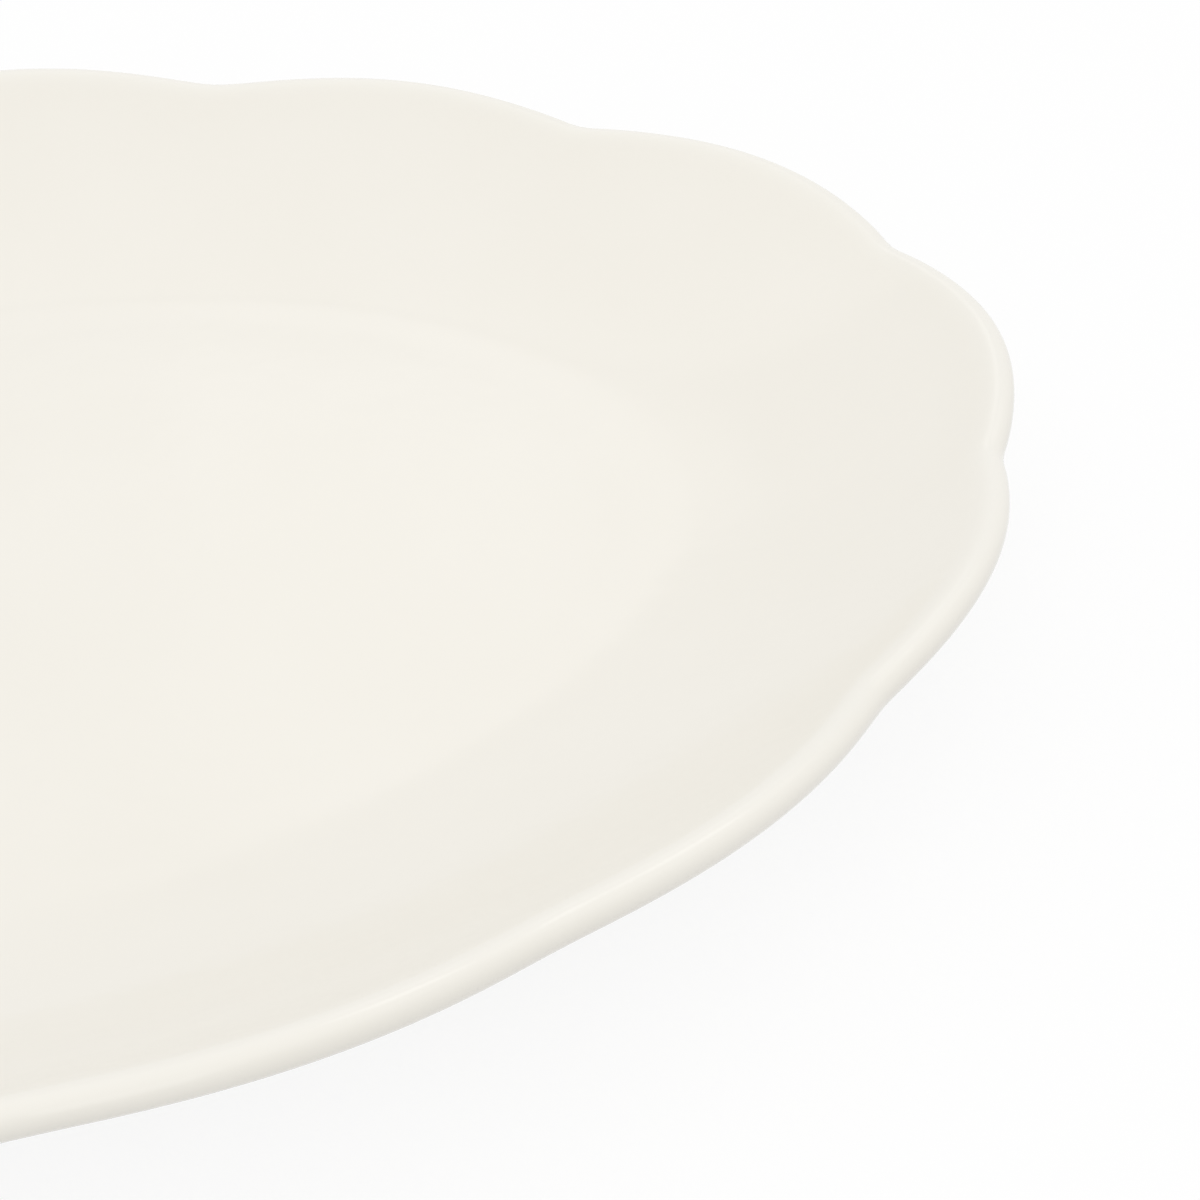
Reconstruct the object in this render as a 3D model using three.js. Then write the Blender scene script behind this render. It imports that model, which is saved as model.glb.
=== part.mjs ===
// Oval coupe plate with a scalloped lip, pressed in stoneware and glazed.
// Millimetres, +Z up. The origin is on the table under the middle of the plate, with +X along the oval.
import * as THREE from 'three';

// Oval that the lip's round starts from at the bottom of its notches, in the middle of the wall
const LIP_HALF_LENGTH = 148.6;
const LIP_HALF_WIDTH = 108.6;
// How far that oval is drawn in between the ends of its axes, against an ellipse
const LIP_DRAW_IN = 5.2;

// Scallops: shallow lobes that meet in notches, one notch at each end of the oval
const LOBE_COUNT = 14;
const LOBE_RISE = 2.9;

// Rounded lip, a little fuller than the wall that it ends: half an ellipse in section
const LIP_ROUND = 3.05;
const LIP_HALF_THICKNESS = 2.3;

// Flat well, an oval with a soft bend where the wall starts
const WELL_HALF_LENGTH = 101;
const WELL_HALF_WIDTH = 63.5;
// How far that oval swells between the ends of its axes, against an ellipse
const WELL_SWELL = 4;
const WELL_THICKNESS = 5.2;
// Half the width of the soft bend
const WELL_BEND = 6;

// Wall, which curves up from the well to the lip
const RIM_THICKNESS = 4.3;
// Climb of the middle of the wall, from the well to a notch of the lip
const WALL_RISE = 16;
// Slope with which the wall leaves the bend
const WALL_START_SLOPE = 0.1;

// Oval foot ring, luted under the flat of the well
const FOOT_HEIGHT = 3.2;
const FOOT_FACE_WIDTH = 4;
const FOOT_ROOT_WIDTH = 7;
// Level stretch between the root of the ring and the bend outside it
const FOOT_SETBACK = 2.5;
// Rounding of the two edges that stand on the table
const FOOT_EDGE = 0.6;
// Height of the bare clay that the glaze leaves above the table
const FOOT_BARE = 1;

// Glaze, fused to the clay everywhere but on the bare edge of the foot
const GLAZE_THICKNESS = 0.4;
// How much thicker the glaze lies where it pools in the corners of the foot
const GLAZE_POOL = 0.3;
// Seam drawn between the pieces, which the kiln fuses
const SEAM = 0.02;

// Fineness of the faceted surfaces
const STEPS_PER_LOBE = 8;
const WALL_STOPS = [0, 0.3, 0.55, 0.78, 0.95];
const LIP_TURNS = [80, 50, 25, 0, -25, -50, -80];

// Sizes that follow
const STEPS_ROUND = LOBE_COUNT * STEPS_PER_LOBE;
const WELL_TOP = FOOT_HEIGHT + WELL_THICKNESS;
const WELL_MIDDLE = FOOT_HEIGHT + WELL_THICKNESS / 2;
const CLAY_BASE = FOOT_HEIGHT + GLAZE_THICKNESS;
const FOOT_ROOT = FOOT_ROOT_WIDTH / 2;
const FOOT_FACE = FOOT_FACE_WIDTH / 2;
// Middle of the foot ring, measured outwards from the edge of the well
const FOOT_MIDDLE = -(WELL_BEND + FOOT_SETBACK + FOOT_ROOT);
const UP = 1;
const DOWN = -1;
const OUTSIDE = 1;
const INSIDE = -1;

// Oval in plan, which starts at +X and runs round by way of +Y
class Oval extends THREE.Curve {
  constructor(halfLength, halfWidth, drawIn) {
    super();
    this.halfLength = halfLength;
    this.halfWidth = halfWidth;
    this.drawIn = drawIn;
    this.arcLengthDivisions = 1200;
  }

  getPoint(t, target = new THREE.Vector3()) {
    const along = Math.cos(2 * Math.PI * t);
    const across = Math.sin(2 * Math.PI * t);
    const x = (this.halfLength - this.drawIn * across ** 2) * along;
    const y = (this.halfWidth - this.drawIn * along ** 2) * across;
    return target.set(x, y, 0);
  }
}

const lipOval = new Oval(LIP_HALF_LENGTH, LIP_HALF_WIDTH, LIP_DRAW_IN);
const wellOval = new Oval(WELL_HALF_LENGTH, WELL_HALF_WIDTH, -WELL_SWELL);

// A meridian is an upright plane in which the section of the plate is drawn. Distances along it are
// measured outwards from the edge of the well: span to the notch oval, reach to the start of the lip.
function meridian(step) {
  const share = step / STEPS_ROUND;
  const start = wellOval.getPointAt(share);
  const outwards = lipOval.getPointAt(share).sub(start);
  const span = outwards.length();
  const lobe = LOBE_RISE * Math.abs(Math.sin(Math.PI * LOBE_COUNT * share));
  return { start, outwards: outwards.normalize(), span, reach: span + lobe };
}

const meridians = Array.from({ length: STEPS_ROUND }, (_, step) => meridian(step));

// A ring is one closed row of points, with the same place in the section of every meridian
function ring(placeOn) {
  return meridians.map((line) => {
    const { distance, height } = placeOn(line);
    return line.start.clone().addScaledVector(line.outwards, distance).setZ(height);
  });
}

// A centre is a ring drawn together to one point on the plate's upright axis
function centre(height) {
  return [new THREE.Vector3(0, 0, height)];
}

// Middle of the wall: level under the well, through the bend, then an even curve up to the lip
function wallMiddle(line, distance) {
  const bend = THREE.MathUtils.clamp((distance + WELL_BEND) / (2 * WELL_BEND), 0, 1);
  const beyondBend = Math.max(distance - WELL_BEND, 0);
  const climb = Math.max(distance, 0);
  const curl = (WALL_RISE - WALL_START_SLOPE * line.span) / line.span ** 2;
  const rise = WALL_START_SLOPE * (WELL_BEND * bend ** 2 + beyondBend) + curl * climb ** 2;
  const slope = WALL_START_SLOPE * bend + 2 * curl * climb;
  return { height: WELL_MIDDLE + rise, tilt: Math.atan(slope) };
}

// Upper or under face of the wall, at a depth below the glazed surface
function wallFace(line, distance, side, depth) {
  const { height, tilt } = wallMiddle(line, distance);
  const share = (distance + WELL_BEND) / (line.reach + WELL_BEND);
  const half = THREE.MathUtils.lerp(WELL_THICKNESS, RIM_THICKNESS, share) / 2 - depth;
  return {
    distance: distance - side * half * Math.sin(tilt),
    height: height + side * half * Math.cos(tilt),
  };
}

// Round of the lip, turned from its foremost line towards the upper face, at a depth below the glaze
function lipFace(line, turn, depth) {
  const { height, tilt } = wallMiddle(line, line.reach);
  const angle = THREE.MathUtils.degToRad(turn);
  const along = (LIP_ROUND - depth) * Math.cos(angle);
  const across = (LIP_HALF_THICKNESS - depth) * Math.sin(angle);
  return {
    distance: line.reach + along * Math.cos(tilt) - across * Math.sin(tilt),
    height: height + along * Math.sin(tilt) + across * Math.cos(tilt),
  };
}

// Rings of the dish at a depth below the glaze: from the middle of the well over the lip to the level
// underside that carries the foot
function dishRings(depth) {
  const alongWall = (stop, side) => ring((line) => {
    const distance = THREE.MathUtils.lerp(WELL_BEND, line.reach, stop);
    return wallFace(line, distance, side, depth);
  });
  const levelEdge = (side) => ring((line) => wallFace(line, -WELL_BEND, side, depth));
  return [
    centre(WELL_TOP - depth),
    levelEdge(UP),
    ...WALL_STOPS.map((stop) => alongWall(stop, UP)),
    ...LIP_TURNS.map((turn) => ring((line) => lipFace(line, turn, depth))),
    ...WALL_STOPS.map((stop) => alongWall(stop, DOWN)).reverse(),
    levelEdge(DOWN),
  ];
}

// Ring on the outer or inner side of the foot, measured from the middle of the foot ring
function footSide(side, fromMiddle, height) {
  return ring(() => ({ distance: FOOT_MIDDLE + side * fromMiddle, height }));
}

// Half width of the clay foot where the glaze stops, on the straight flank from root to rounded edge
const bareShare = (CLAY_BASE - FOOT_BARE) / (CLAY_BASE - FOOT_EDGE);
const FOOT_AT_GLAZE_END = THREE.MathUtils.lerp(FOOT_ROOT, FOOT_FACE + FOOT_EDGE, bareShare);
const POOLED_GLAZE = GLAZE_THICKNESS + GLAZE_POOL;

// Rings of one side of the foot: in the clay, and on the back and the face of the glaze
function footRings(side) {
  return {
    clayRoot: footSide(side, FOOT_ROOT, CLAY_BASE - SEAM),
    clayGlazeEnd: footSide(side, FOOT_AT_GLAZE_END, FOOT_BARE),
    clayEdge: footSide(side, FOOT_FACE + FOOT_EDGE, FOOT_EDGE),
    clayFace: footSide(side, FOOT_FACE, 0),
    backRoot: footSide(side, FOOT_ROOT + SEAM, CLAY_BASE - SEAM),
    backEnd: footSide(side, FOOT_AT_GLAZE_END + SEAM, FOOT_BARE),
    glazeRoot: footSide(side, FOOT_ROOT + POOLED_GLAZE, CLAY_BASE - POOLED_GLAZE),
    glazeEnd: footSide(side, FOOT_AT_GLAZE_END + GLAZE_THICKNESS, FOOT_BARE),
  };
}

// Rings of the level base inside the foot
function baseRings(height) {
  return [footSide(INSIDE, FOOT_ROOT + FOOT_SETBACK, height), centre(height)];
}

const glazedDish = dishRings(0);
const glazeBack = dishRings(GLAZE_THICKNESS - SEAM);
const clayDish = dishRings(GLAZE_THICKNESS);
const footOutside = footRings(OUTSIDE);
const footInside = footRings(INSIDE);

// A sheet is the skin through a row of rings. Rings are listed from the top of the plate over the lip
// to its underside, so that the skin faces out; a sheet that backs onto another piece is turned round.
function sheet(...rings) {
  return { rings, turned: false };
}

function turnedSheet(...rings) {
  return { rings, turned: true };
}

// Closed surface made of sheets that share their end rings
function solidOf(...sheets) {
  const positions = [];
  const indices = [];
  const firstOfRing = new Map();
  const indexOf = (points, step) => {
    if (!firstOfRing.has(points)) {
      firstOfRing.set(points, positions.length / 3);
      points.forEach((point) => positions.push(...point.toArray()));
    }
    return firstOfRing.get(points) + (step % points.length);
  };
  const addTriangle = (corners, turned) => {
    const meetsInCentre = new Set(corners).size < 3;
    if (!meetsInCentre) {
      indices.push(...(turned ? corners.reverse() : corners));
    }
  };
  for (const { rings, turned } of sheets) {
    for (let row = 1; row < rings.length; row += 1) {
      for (let step = 0; step < STEPS_ROUND; step += 1) {
        const from = indexOf(rings[row - 1], step);
        const fromNext = indexOf(rings[row - 1], step + 1);
        const to = indexOf(rings[row], step);
        const toNext = indexOf(rings[row], step + 1);
        addTriangle([from, to, toNext], turned);
        addTriangle([from, toNext, fromNext], turned);
      }
    }
  }
  const geometry = new THREE.BufferGeometry();
  geometry.setAttribute('position', new THREE.Float32BufferAttribute(positions, 3));
  geometry.setIndex(indices);
  geometry.computeVertexNormals();
  return geometry;
}

function piece(name, geometry, material) {
  const mesh = new THREE.Mesh(geometry, material);
  mesh.name = name;
  return mesh;
}

const creamGlaze = new THREE.MeshStandardMaterial({ color: 0xf3efe5, roughness: 0.15, metalness: 0 });
const bareClay = new THREE.MeshStandardMaterial({ color: 0xe8dfce, roughness: 0.85, metalness: 0 });

// Pressed dish: well, wall and lip in one piece of clay
const clayBody = solidOf(sheet(...clayDish, ...baseRings(CLAY_BASE)));

// Foot ring: a closed loop from its root down the outside, across the table and up the inside
const footRing = solidOf(sheet(
  footOutside.clayRoot,
  footOutside.clayGlazeEnd,
  footOutside.clayEdge,
  footOutside.clayFace,
  footInside.clayFace,
  footInside.clayEdge,
  footInside.clayGlazeEnd,
  footInside.clayRoot,
  footOutside.clayRoot,
));

// Glaze over the whole dish and down the outside of the foot
const outerGlaze = solidOf(
  sheet(...glazedDish, footOutside.glazeRoot, footOutside.glazeEnd, footOutside.backEnd),
  turnedSheet(...glazeBack, footOutside.backRoot, footOutside.backEnd),
);

// Glaze inside the foot, over the base of the plate
const baseGlaze = solidOf(
  sheet(footInside.backEnd, footInside.glazeEnd, footInside.glazeRoot, ...baseRings(FOOT_HEIGHT)),
  turnedSheet(footInside.backEnd, footInside.backRoot, ...baseRings(CLAY_BASE - SEAM)),
);

const plate = new THREE.Group();
plate.add(piece('clay_body', clayBody, bareClay));
plate.add(piece('foot_ring', footRing, bareClay));
plate.add(piece('outer_glaze', outerGlaze, creamGlaze));
plate.add(piece('base_glaze', baseGlaze, creamGlaze));

export default plate;
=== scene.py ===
"""Oval coupe plate with a scalloped lip: cream glazed stoneware on a bare-edged foot ring."""

import math

import bpy
import numpy as np
from mathutils import Matrix, Vector


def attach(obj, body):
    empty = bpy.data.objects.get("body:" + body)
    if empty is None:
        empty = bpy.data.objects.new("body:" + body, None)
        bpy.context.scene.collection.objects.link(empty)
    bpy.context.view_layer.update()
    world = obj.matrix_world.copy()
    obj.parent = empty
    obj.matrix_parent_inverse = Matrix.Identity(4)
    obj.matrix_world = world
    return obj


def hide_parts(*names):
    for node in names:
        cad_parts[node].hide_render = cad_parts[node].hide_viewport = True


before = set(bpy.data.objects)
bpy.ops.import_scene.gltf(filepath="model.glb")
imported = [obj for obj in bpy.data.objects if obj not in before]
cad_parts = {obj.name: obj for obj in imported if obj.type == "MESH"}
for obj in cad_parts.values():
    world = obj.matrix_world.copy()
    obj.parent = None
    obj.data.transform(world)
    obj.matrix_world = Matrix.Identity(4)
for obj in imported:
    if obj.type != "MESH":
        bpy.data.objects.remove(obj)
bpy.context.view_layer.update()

# Clay body: pale stoneware, pressed over a mould as one dish of well, wall and lip, and then fired.
# The glaze covers all of it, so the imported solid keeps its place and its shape, and only gets its clay.


class Shade:
    """A value in a material. Sums and products add Math nodes, and node() adds any other node."""

    def __init__(self, tree, socket=None):
        self.tree = tree
        self.socket = socket

    def node(self, kind, settings=None, sockets=None, out=0):
        """Adds a node with these settings and these values or links, and gives one of its outputs."""
        made = self.tree.nodes.new(kind)
        for name, value in (settings or {}).items():
            if name == "stops":
                for stop, (place, tone) in zip(made.color_ramp.elements, value):
                    stop.position = place
                    stop.color = (tone, tone, tone, 1)
            else:
                setattr(made, name, value)
        for name, value in (sockets or {}).items():
            if isinstance(value, Shade):
                self.tree.links.new(value.socket, made.inputs[name])
            else:
                made.inputs[name].default_value = value
        return Shade(self.tree, made.outputs[out])

    def feed(self, shader, name):
        """Links this value to a socket of a shader."""
        self.tree.links.new(self.socket, shader.inputs[name])

    def __add__(self, other):
        return self.node("ShaderNodeMath", {"operation": "ADD"}, {0: self, 1: other})

    def __sub__(self, other):
        return self.node("ShaderNodeMath", {"operation": "SUBTRACT"}, {0: self, 1: other})

    def __rsub__(self, other):
        return self.node("ShaderNodeMath", {"operation": "SUBTRACT"}, {0: other, 1: self})

    def __mul__(self, other):
        return self.node("ShaderNodeMath", {"operation": "MULTIPLY"}, {0: self, 1: other})

    __radd__ = __add__
    __rmul__ = __mul__


def noise(place, scale, detail):
    """Cloudy values from 0 to 1, with about this many clouds in a metre."""
    sockets = {"Vector": place, "Scale": scale, "Detail": detail}
    return place.node("ShaderNodeTexNoise", sockets=sockets)


def ramp(value, low, high):
    """0 below low, 1 above high, and an even rise between them."""
    return value.node("ShaderNodeValToRGB", {"stops": [(low, 0), (high, 1)]}, {"Fac": value})


def mix_colours(share, first, second):
    """The first colour where share is 0, the second where it is 1.

    The colours of a Mix node are its sockets 6 and 7, and its output 2.
    """
    sockets = {0: share, 6: first, 7: second}
    return share.node("ShaderNodeMix", {"data_type": "RGBA"}, sockets, out=2)


def bump(height, strength, distance):
    """A relief from a height of 0 to 1, which stands for this distance in metres."""
    sockets = {"Height": height, "Strength": strength, "Distance": distance}
    return height.node("ShaderNodeBump", sockets=sockets)


def new_material(name):
    """A material with its shader, and the place on the piece that its patterns start from."""
    material = bpy.data.materials.new(name)
    material.use_nodes = True
    shader = material.node_tree.nodes["Principled BSDF"]
    place = Shade(material.node_tree).node("ShaderNodeTexCoord", out="Object")
    return material, shader, place


def fired_clay(name):
    """Bare stoneware: fine sandy grain, a few darker grains of grog, and a dry matt face."""
    pale, tan, grog = (0.78, 0.71, 0.59, 1), (0.68, 0.59, 0.45, 1), (0.42, 0.33, 0.23, 1)
    material, shader, place = new_material(name)
    sand = noise(place, scale=1900, detail=3)
    patches = noise(place, scale=60, detail=2)
    specks = ramp(noise(place, scale=700, detail=1), low=0.68, high=0.73)
    body = mix_colours(ramp(0.5 * sand + 0.5 * patches, low=0.35, high=0.65), pale, tan)
    mix_colours(0.7 * specks, body, grog).feed(shader, "Base Color")
    (0.78 + 0.14 * sand).feed(shader, "Roughness")
    bump(sand, strength=0.5, distance=0.00012).feed(shader, "Normal")
    return material


clay_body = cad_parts["clay_body"]
clay_body.data.materials.clear()
clay_body.data.materials.append(fired_clay("pressed_clay"))

# Foot ring: an oval ring of the same clay, luted under the well with slip.
# The edge that stands on the table is rounded off and wiped free of glaze with a sponge.
# Its sizes, and those of the glaze, are in millimetres.

MM = 0.001
LOBES = 14
STEPS_PER_LOBE = 16
MERIDIANS = LOBES * STEPS_PER_LOBE
WELL_HALF_LENGTH, WELL_HALF_WIDTH, WELL_SWELL = 101, 63.5, 4
LIP_HALF_LENGTH, LIP_HALF_WIDTH, LIP_DRAW_IN = 148.6, 108.6, 5.2
OVAL_STEPS = 4800
FOOT_MIDDLE = -12
FOOT_FACE, FOOT_ROOT = 2, 3.5
FOOT_EDGE = 0.6
CLAY_BASE = 3.6
SEAM = 0.02
BARE = 0


def oval(half_length, half_width, draw_in):
    """Points at even steps round an oval, from +X by way of +Y."""
    turn = np.linspace(0, math.tau, OVAL_STEPS + 1)
    along, across = np.cos(turn), np.sin(turn)
    x = (half_length - draw_in * across**2) * along
    y = (half_width - draw_in * along**2) * across
    length = np.concatenate([[0], np.cumsum(np.hypot(np.diff(x), np.diff(y)))])
    steps = np.arange(MERIDIANS) / MERIDIANS * length[-1]
    return np.stack([np.interp(steps, length, x), np.interp(steps, length, y)], -1)


# The section is drawn along meridians, lines in plan from the edge of the well out to the lip
well_edge = oval(WELL_HALF_LENGTH, WELL_HALF_WIDTH, -WELL_SWELL)
lip_edge = oval(LIP_HALF_LENGTH, LIP_HALF_WIDTH, LIP_DRAW_IN)
outwards = lip_edge - well_edge
span = np.linalg.norm(outwards, axis=1)
outwards = outwards / span[:, None]


def ring(distance, height, glaze=BARE):
    """A closed row of points, this far out from the edge of the well and this high, in metres.

    The fourth number of a point is the depth of the glaze there.
    """
    distance = np.broadcast_to(distance, MERIDIANS)
    height = np.broadcast_to(height, MERIDIANS)
    plan = well_edge + outwards * distance[:, None]
    return np.column_stack([plan * MM, height * MM, np.full(MERIDIANS, glaze)])


def press(name, rows, ring_shaped=False):
    """A tube with a ring of edges for each row of a section, pressed to that section and rounded off.

    Its ends are closed, or joined to each other where the piece is a ring.
    """
    last = len(rows) - 1
    bpy.ops.object.select_all(action="DESELECT")
    bpy.ops.mesh.primitive_cylinder_add(
        vertices=MERIDIANS, radius=1, depth=last, end_fill_type="NOTHING"
    )
    piece = bpy.context.object
    tube = piece.data
    piece.name = tube.name = name

    def choose_edges(wanted):
        bpy.ops.object.mode_set(mode="EDIT")
        bpy.ops.mesh.select_mode(type="EDGE")
        bpy.ops.mesh.select_all(action="DESELECT")
        bpy.ops.object.mode_set(mode="OBJECT")
        for edge in tube.edges:
            first, second = (tube.vertices[end].co.z for end in edge.vertices)
            edge.select = wanted(first, second)
        bpy.ops.object.mode_set(mode="EDIT")

    # The upright edges are cut, which makes the rings between the two ends
    choose_edges(lambda first, second: abs(first - second) > last / 2)
    bpy.ops.mesh.subdivide(number_cuts=last - 1)
    if ring_shaped:
        # The edges of the two ends
        choose_edges(lambda first, second: abs(first + second) > last - 0.5)
        bpy.ops.mesh.bridge_edge_loops()
    bpy.ops.object.mode_set(mode="OBJECT")
    depth = tube.attributes.new("glaze_depth", "FLOAT", "POINT")
    for vertex in tube.vertices:
        row = rows[round(vertex.co.z + last / 2)]
        turn = math.atan2(vertex.co.y, vertex.co.x) / math.tau
        point = row[round(turn * MERIDIANS) % MERIDIANS]
        vertex.co = point[:3]
        depth.data[vertex.index].value = point[3]
    subdivision = piece.modifiers.new("round_off", "SUBSURF")
    subdivision.levels = subdivision.render_levels = 1
    bpy.ops.object.modifier_apply(modifier=subdivision.name)
    bpy.ops.object.mode_set(mode="EDIT")
    if not ring_shaped:
        bpy.ops.mesh.select_all(action="SELECT")
        bpy.ops.mesh.fill_holes(sides=0)
        bpy.ops.mesh.select_mode(type="FACE")
        bpy.ops.mesh.select_face_by_sides(number=4, type="GREATER", extend=False)
        bpy.ops.mesh.poke()
    bpy.ops.mesh.select_all(action="SELECT")
    bpy.ops.mesh.normals_make_consistent(inside=False)
    bpy.ops.object.mode_set(mode="OBJECT")
    bpy.ops.object.shade_smooth()
    return piece


# One side of the ring, from its root to its middle: distance from the middle of the ring, and height
edge_turns = [math.radians(turn) for turn in (0, 30, 60, 90)]
foot_side = [(FOOT_ROOT, CLAY_BASE - SEAM), (3.2, 2.6), (2.78, 1.2)]
foot_side += [(FOOT_FACE + FOOT_EDGE * math.cos(t), FOOT_EDGE * (1 - math.sin(t))) for t in edge_turns]
foot_side += [(0.9, 0), (0, 0)]
foot_rows = [ring(FOOT_MIDDLE + out, up) for out, up in foot_side]
foot_rows += [ring(FOOT_MIDDLE - out, up) for out, up in reversed(foot_side[:-1])]
foot = press("bare_foot_ring", foot_rows, ring_shaped=True)
foot.data.materials.append(fired_clay("wiped_clay"))
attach(foot, "root")
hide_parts("foot_ring")

# Base glaze: the coat on the base inside the foot, fused to the clay in the kiln.
# It pools in the corner under the ring and ends in a soft edge where the sponge passed.

FOOT_HEIGHT = 3.2
BARE_EDGE = 1
GLAZE_END = 2.72
GLAZE = 0.4
THIN, EVEN, POOLED = 0, 0.5, 1
# Face of the glaze on one side of the foot, from the level base to its soft end: distance from the
# middle of the ring, height, and depth of the glaze
glaze_on_foot = [
    (6.4, FOOT_HEIGHT, EVEN),
    (5.2, FOOT_HEIGHT, EVEN),
    (4.6, 3.14, 0.8),
    (4.1, 2.88, POOLED),
    (3.72, 2.4, POOLED),
    (3.46, 1.9, 0.8),
    (3.24, 1.4, EVEN),
    (3.14, 1.12, 0.3),
    (3.02, 0.99, THIN),
    (2.86, 0.96, THIN),
]
# Back of the glaze on the foot, which lies on the clay
glaze_back_on_foot = [
    (GLAZE_END + SEAM, BARE_EDGE, THIN),
    (3.1, 2.2, EVEN),
    (FOOT_ROOT + SEAM, CLAY_BASE - SEAM, EVEN),
    (6, CLAY_BASE - SEAM, EVEN),
]


def cream_glaze(name):
    """Cream gloss glaze: faintly clouded, deeper where it pools, paler where it runs thinner and as a
    painted highlight on the lip's crest.
    """
    cream, cloud = (0.892, 0.864, 0.798, 1), (0.884, 0.855, 0.786, 1)
    thin_glaze_and_highlight, pooled = (0.895, 0.872, 0.813, 1), (0.8, 0.77, 0.67, 1)
    material, shader, place = new_material(name)
    depth = place.node("ShaderNodeAttribute", {"attribute_name": "glaze_depth"}, out="Fac")
    clouds = ramp(noise(place, scale=28, detail=3), low=0.35, high=0.65)
    body = mix_colours(clouds, cream, cloud)
    # Paler where the glaze is marked thinner; on the crest of the lip this paler tone is partly a painted
    # highlight.
    body = mix_colours(1 - ramp(depth, THIN, EVEN), body, thin_glaze_and_highlight)
    mix_colours(ramp(depth, EVEN, POOLED), body, pooled).feed(shader, "Base Color")
    uneven_gloss = noise(place, scale=90, detail=2)
    (0.1 + 0.06 * uneven_gloss).feed(shader, "Roughness")
    ripple = noise(place, scale=160, detail=2)
    bump(ripple, strength=0.05, distance=0.001).feed(shader, "Normal")
    shader.inputs["IOR"].default_value = 1.5
    return material


def level_rows(edge, height, shares):
    """Rows on a level face, at shares of the way from its middle to its edge."""
    return [edge * [share, share, 0, 1] + [0, 0, height * MM, 0] for share in shares]


def coat(piece):
    """Glazes a pressed piece and fixes it to the plate."""
    piece.data.materials.append(cream_glaze(piece.name + "_cream"))
    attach(piece, "root")


LEVEL_SHARES = (0.25, 0.5, 0.75, 0.93)
base_edge = ring(FOOT_MIDDLE - glaze_on_foot[0][0], FOOT_HEIGHT, EVEN)
base_rows = level_rows(base_edge, FOOT_HEIGHT, LEVEL_SHARES)
base_rows += [ring(FOOT_MIDDLE - out, up, glaze) for out, up, glaze in glaze_on_foot]
base_rows += [ring(FOOT_MIDDLE - out, up, glaze) for out, up, glaze in glaze_back_on_foot]
base_rows += level_rows(base_edge, CLAY_BASE - SEAM, LEVEL_SHARES[::-1])
base = press("glossy_base_coat", base_rows)
coat(base)
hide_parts("base_glaze")

# Outer glaze: one coat from the well over the lip and down the outside to the bare edge of the foot.
# The lip is a round bead, a little fuller than the wall, drawn out in fourteen shallow lobes.
# The notches between the lobes are crisp at the two ends of the plate and soft along its sides.

WELL_THICKNESS, RIM_THICKNESS = 5.2, 4.3
WELL_BEND = 6
WALL_RISE = 16
WALL_START_SLOPE = 0.1
LIP_HALF_THICKNESS, LIP_ROUND = 2.3, 3.05
LOBE_RISE = 2.9
SIDE_SOFTNESS = 0.26
NOTCH_CUT = 0.25
BEAD_RUN = 7
CREST_TURN = 54
WELL_TOP = FOOT_HEIGHT + WELL_THICKNESS
WELL_MIDDLE = FOOT_HEIGHT + WELL_THICKNESS / 2
UP, DOWN = 1, -1
swing = np.sin(np.pi * np.arange(MERIDIANS) / STEPS_PER_LOBE)
sideways = (lip_edge[:, 1] / LIP_HALF_WIDTH) ** 4
softness = SIDE_SOFTNESS * sideways
lobe = LOBE_RISE * np.hypot(swing, softness) / np.hypot(1, softness)
# Rounding off fills the notches, so those at the ends start a little deeper
lobe[::STEPS_PER_LOBE] -= NOTCH_CUT * (1 - sideways[::STEPS_PER_LOBE]) ** 3
reach = span + lobe


def wall_middle(distance):
    """Height and tilt of the middle of the wall: level, through the bend, then an even curve up."""
    bend = np.clip((distance + WELL_BEND) / (2 * WELL_BEND), 0, 1)
    climb = np.maximum(distance, 0)
    curl = (WALL_RISE - WALL_START_SLOPE * span) / span**2
    beyond_bend = np.maximum(distance - WELL_BEND, 0)
    rise = WALL_START_SLOPE * (WELL_BEND * bend**2 + beyond_bend) + curl * climb**2
    return WELL_MIDDLE + rise, np.arctan(WALL_START_SLOPE * bend + 2 * curl * climb)


def wall_row(distance, side, depth):
    """A row on the upper or the under face of the wall, at a depth below the face of the glaze."""
    distance = np.broadcast_to(distance, MERIDIANS)
    height, tilt = wall_middle(distance)
    share = (distance + WELL_BEND) / (reach + WELL_BEND)
    swell = np.clip((distance - reach + BEAD_RUN) / BEAD_RUN, 0, 1)
    bead = (LIP_HALF_THICKNESS - RIM_THICKNESS / 2) * swell**2 * (3 - 2 * swell)
    half = (WELL_THICKNESS + (RIM_THICKNESS - WELL_THICKNESS) * share) / 2 + bead - depth
    return ring(distance - side * half * np.sin(tilt), height + side * half * np.cos(tilt), EVEN)


def lip_row(turn, depth):
    """A row on the bead of the lip, turned up or down from its foremost line by degrees.

    Molten glaze runs off the crest of the bead, so it is marked thinner there; its paler tone is partly
    that thinner glaze and partly a painted highlight.
    """
    height, tilt = wall_middle(reach)
    along = (LIP_ROUND - depth) * math.cos(math.radians(turn))
    across = (LIP_HALF_THICKNESS - depth) * math.sin(math.radians(turn))
    out = along * np.cos(tilt) - across * np.sin(tilt)
    up = along * np.sin(tilt) + across * np.cos(tilt)
    # The paler, thinner glaze marked on the crest is partly real and partly a painted highlight along the
    # lip.
    glaze = EVEN * min(1, abs(turn - CREST_TURN) / CREST_TURN)
    return ring(reach + out, height + up, glaze)


def dish_rows(depth, bend_steps, wall_shares, lip_turns):
    """Rows from the level edge of the well up the wall, over the lip and down to the level underside."""
    rows = []
    for side in (UP, DOWN):
        face = [wall_row(step, side, depth) for step in bend_steps]
        face += [wall_row(WELL_BEND + (reach - WELL_BEND) * share, side, depth) for share in wall_shares]
        rows += face if side == UP else reversed(face)
        if side == UP:
            rows += [lip_row(turn, depth) for turn in lip_turns]
    return rows


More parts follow.
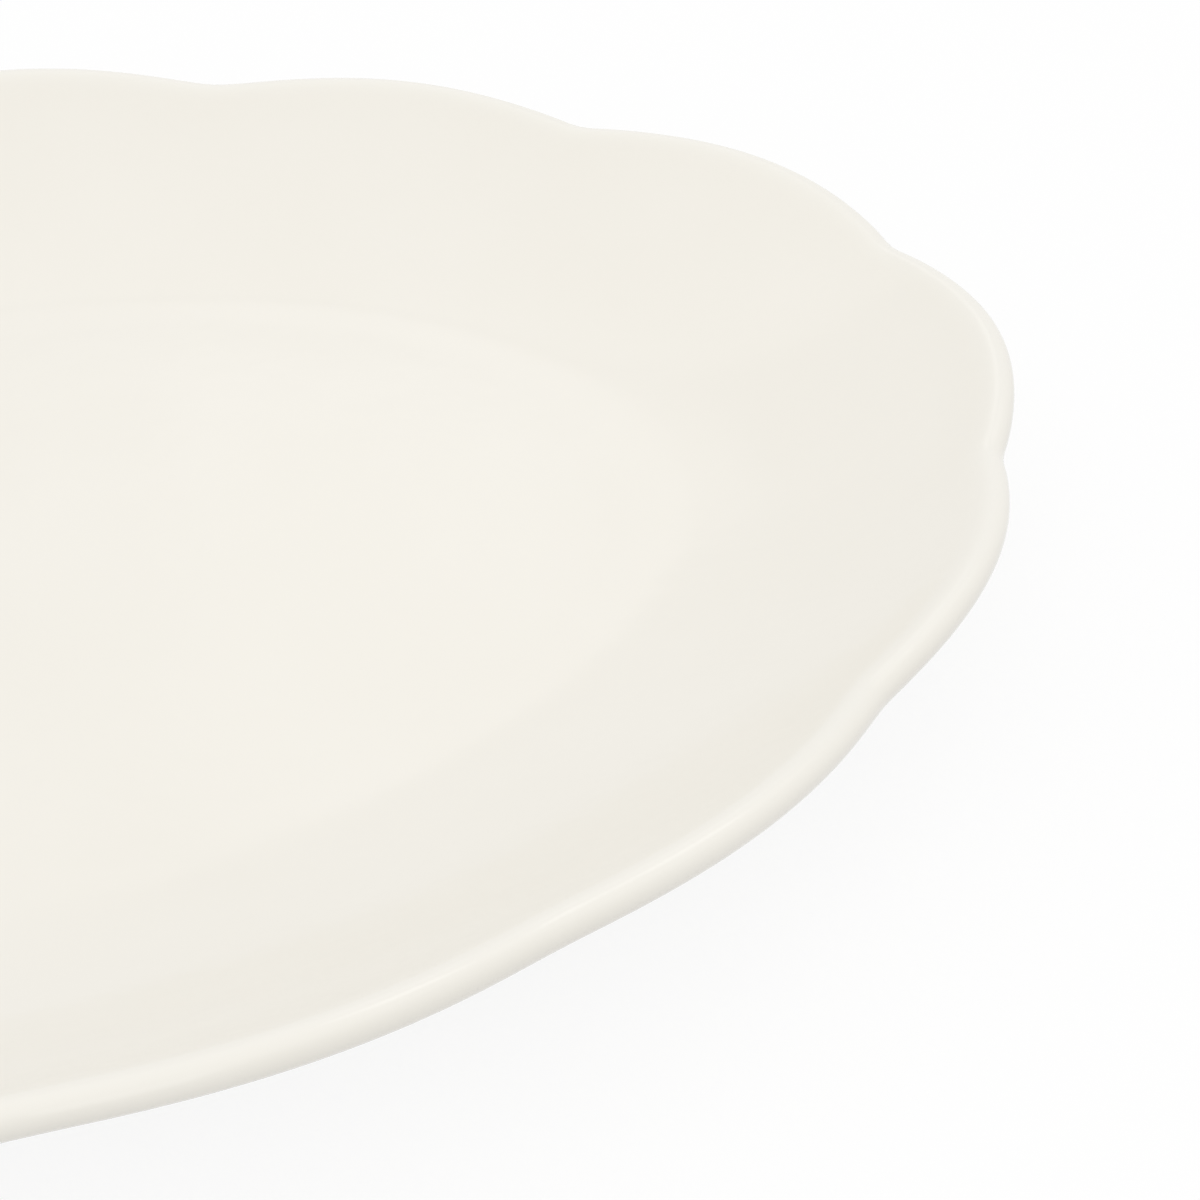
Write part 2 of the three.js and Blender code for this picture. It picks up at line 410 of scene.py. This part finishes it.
face_rows = dish_rows(
    depth=0,
    bend_steps=range(-WELL_BEND, WELL_BEND, 2),
    wall_shares=(0, 0.1, 0.2, 0.3, 0.4, 0.5, 0.6, 0.7, 0.8, 0.87, 0.92, 0.96),
    lip_turns=range(90, -91, -18),
)
back_rows = dish_rows(
    depth=GLAZE - SEAM,
    bend_steps=(-WELL_BEND, 0),
    wall_shares=(0, 0.25, 0.5, 0.75, 0.92),
    lip_turns=(90, 54, 18, -18, -54, -90),
)
well_level = face_rows[0]
outer_rows = [*level_rows(well_level, WELL_TOP, LEVEL_SHARES), *face_rows]
outer_rows += [ring(FOOT_MIDDLE + out, up, glaze) for out, up, glaze in glaze_on_foot[1:]]
outer_rows += [ring(FOOT_MIDDLE + out, up, glaze) for out, up, glaze in glaze_back_on_foot[:-1]]
outer_rows += reversed(back_rows)
outer_rows += level_rows(well_level, WELL_TOP - GLAZE + SEAM, LEVEL_SHARES[::-1])
outer = press("glossy_outer_coat", outer_rows)
coat(outer)
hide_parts("outer_glaze")

# Studio: white paper under a white sky, with a wide softbox over the plate and smaller lamps around it.
# The two lamps behind the plate gleam in its level well. To the camera the paper is nearly white, and it
# keeps a faint shadow of the plate.

SKY = 0.81
FLOOR_SIZE = 12
FLOOR_PAPER, FLOOR_BOUNCE, FLOOR_WHITE = 0.97, 0.74, 0.88
VIEW_RAYS = ("Is Camera Ray", "Is Glossy Ray", "Is Transmission Ray")


def seen_directly(shade):
    """1 where the camera sees a thing, itself or in gloss or glass, and 0 where it only lights."""
    camera_ray, glossy_ray, clear_ray = [shade.node("ShaderNodeLightPath", out=ray) for ray in VIEW_RAYS]
    total = camera_ray + glossy_ray + clear_ray
    return total.node("ShaderNodeMath", {"operation": "MINIMUM"}, {0: total, 1: 1})


world = bpy.data.worlds.new("white_studio")
world.use_nodes = True
bpy.context.scene.world = world
sky = world.node_tree.nodes["Background"]
sky.inputs["Color"].default_value = (1, 1, 1, 1)
(SKY + (1 - SKY) * seen_directly(Shade(world.node_tree))).feed(sky, "Strength")

bpy.ops.object.select_all(action="DESELECT")
bpy.ops.mesh.primitive_plane_add(size=FLOOR_SIZE, location=(0, 0, 0))
floor = bpy.context.object
floor.name = "studio_floor"
paper = bpy.data.materials.new("white_paper")
paper.use_nodes = True
tree = paper.node_tree
matt = tree.nodes["Principled BSDF"]
seen = seen_directly(Shade(tree))
(FLOOR_BOUNCE + (FLOOR_PAPER - FLOOR_BOUNCE) * seen).feed(matt, "Base Color")
matt.inputs["Roughness"].default_value = 1
matt.inputs["Specular IOR Level"].default_value = 0
glow = Shade(tree).node("ShaderNodeEmission", sockets={"Color": (1, 1, 1, 1), "Strength": 1})
share = FLOOR_WHITE * seen
matt_face = Shade(tree, matt.outputs[0])
surface = share.node("ShaderNodeMixShader", sockets={0: share, 1: matt_face, 2: glow})
surface.feed(tree.nodes["Material Output"], "Surface")
floor.data.materials.append(paper)


def softbox(name, colour, brightness, azimuth, elevation, distance, size):
    """A soft lamp that faces the plate, this bright against white paper, with its angles in degrees."""
    lamp = bpy.data.lights.new(name, "AREA")
    lamp.shape = "RECTANGLE"
    lamp.size, lamp.size_y = size
    lamp.color = colour
    lamp.energy = math.pi * lamp.size * lamp.size_y * brightness
    stand = bpy.data.objects.new(name, lamp)
    turn, lift = math.radians(azimuth), math.radians(elevation)
    level = math.cos(lift)
    towards = Vector((math.sin(turn) * level, math.cos(turn) * level, math.sin(lift)))
    stand.location = distance * towards
    stand.rotation_euler = towards.to_track_quat("Z", "Y").to_euler()
    bpy.context.scene.collection.objects.link(stand)


WHITE, WARM, COOL = (1, 1, 1), (1, 0.985, 0.94), (0.97, 0.99, 1)
softbox("overhead", WARM, brightness=0.25, azimuth=20, elevation=84, distance=1.3, size=(2.2, 2.3))
softbox("side", WHITE, brightness=1.1, azimuth=57.5, elevation=57, distance=1.3, size=(0.3, 0.3))
softbox("front", COOL, brightness=0.65, azimuth=207, elevation=38, distance=1.5, size=(1.2, 0.9))
softbox("behind", WHITE, brightness=0.18, azimuth=28, elevation=34.5, distance=4, size=(0.93, 0.73))
softbox("behind_right", WHITE, brightness=0.18, azimuth=30.5, elevation=34.5, distance=4, size=(0.66, 0.73))

# Camera: close over one end of the plate, turned a little about its own axis, on a short telephoto lens.
# Its place was fitted to the outline of the plate in the photograph, with its angles in radians.

AIM = Vector((65.47, -57.25, 22.36)) * MM
AZIMUTH, ELEVATION = -0.5903, 0.5981
ROLL = 0.0723
DISTANCE = 0.3719
SENSOR_WIDTH, FOCAL_LENGTH = 36, 92
NEAREST = 0.01
back = Vector((
    math.sin(AZIMUTH) * math.cos(ELEVATION),
    -math.cos(AZIMUTH) * math.cos(ELEVATION),
    math.sin(ELEVATION),
))
lens = bpy.data.cameras.new("camera")
lens.sensor_width = SENSOR_WIDTH
lens.lens = FOCAL_LENGTH
lens.clip_start = NEAREST
camera = bpy.data.objects.new("camera", lens)
turn = (-back).to_track_quat("-Z", "Y").to_matrix().to_4x4() @ Matrix.Rotation(ROLL, 4, "Z")
camera.matrix_world = Matrix.Translation(AIM + DISTANCE * back) @ turn
bpy.context.scene.collection.objects.link(camera)
bpy.context.scene.camera = camera

bpy.context.scene.view_settings.view_transform = "Standard"
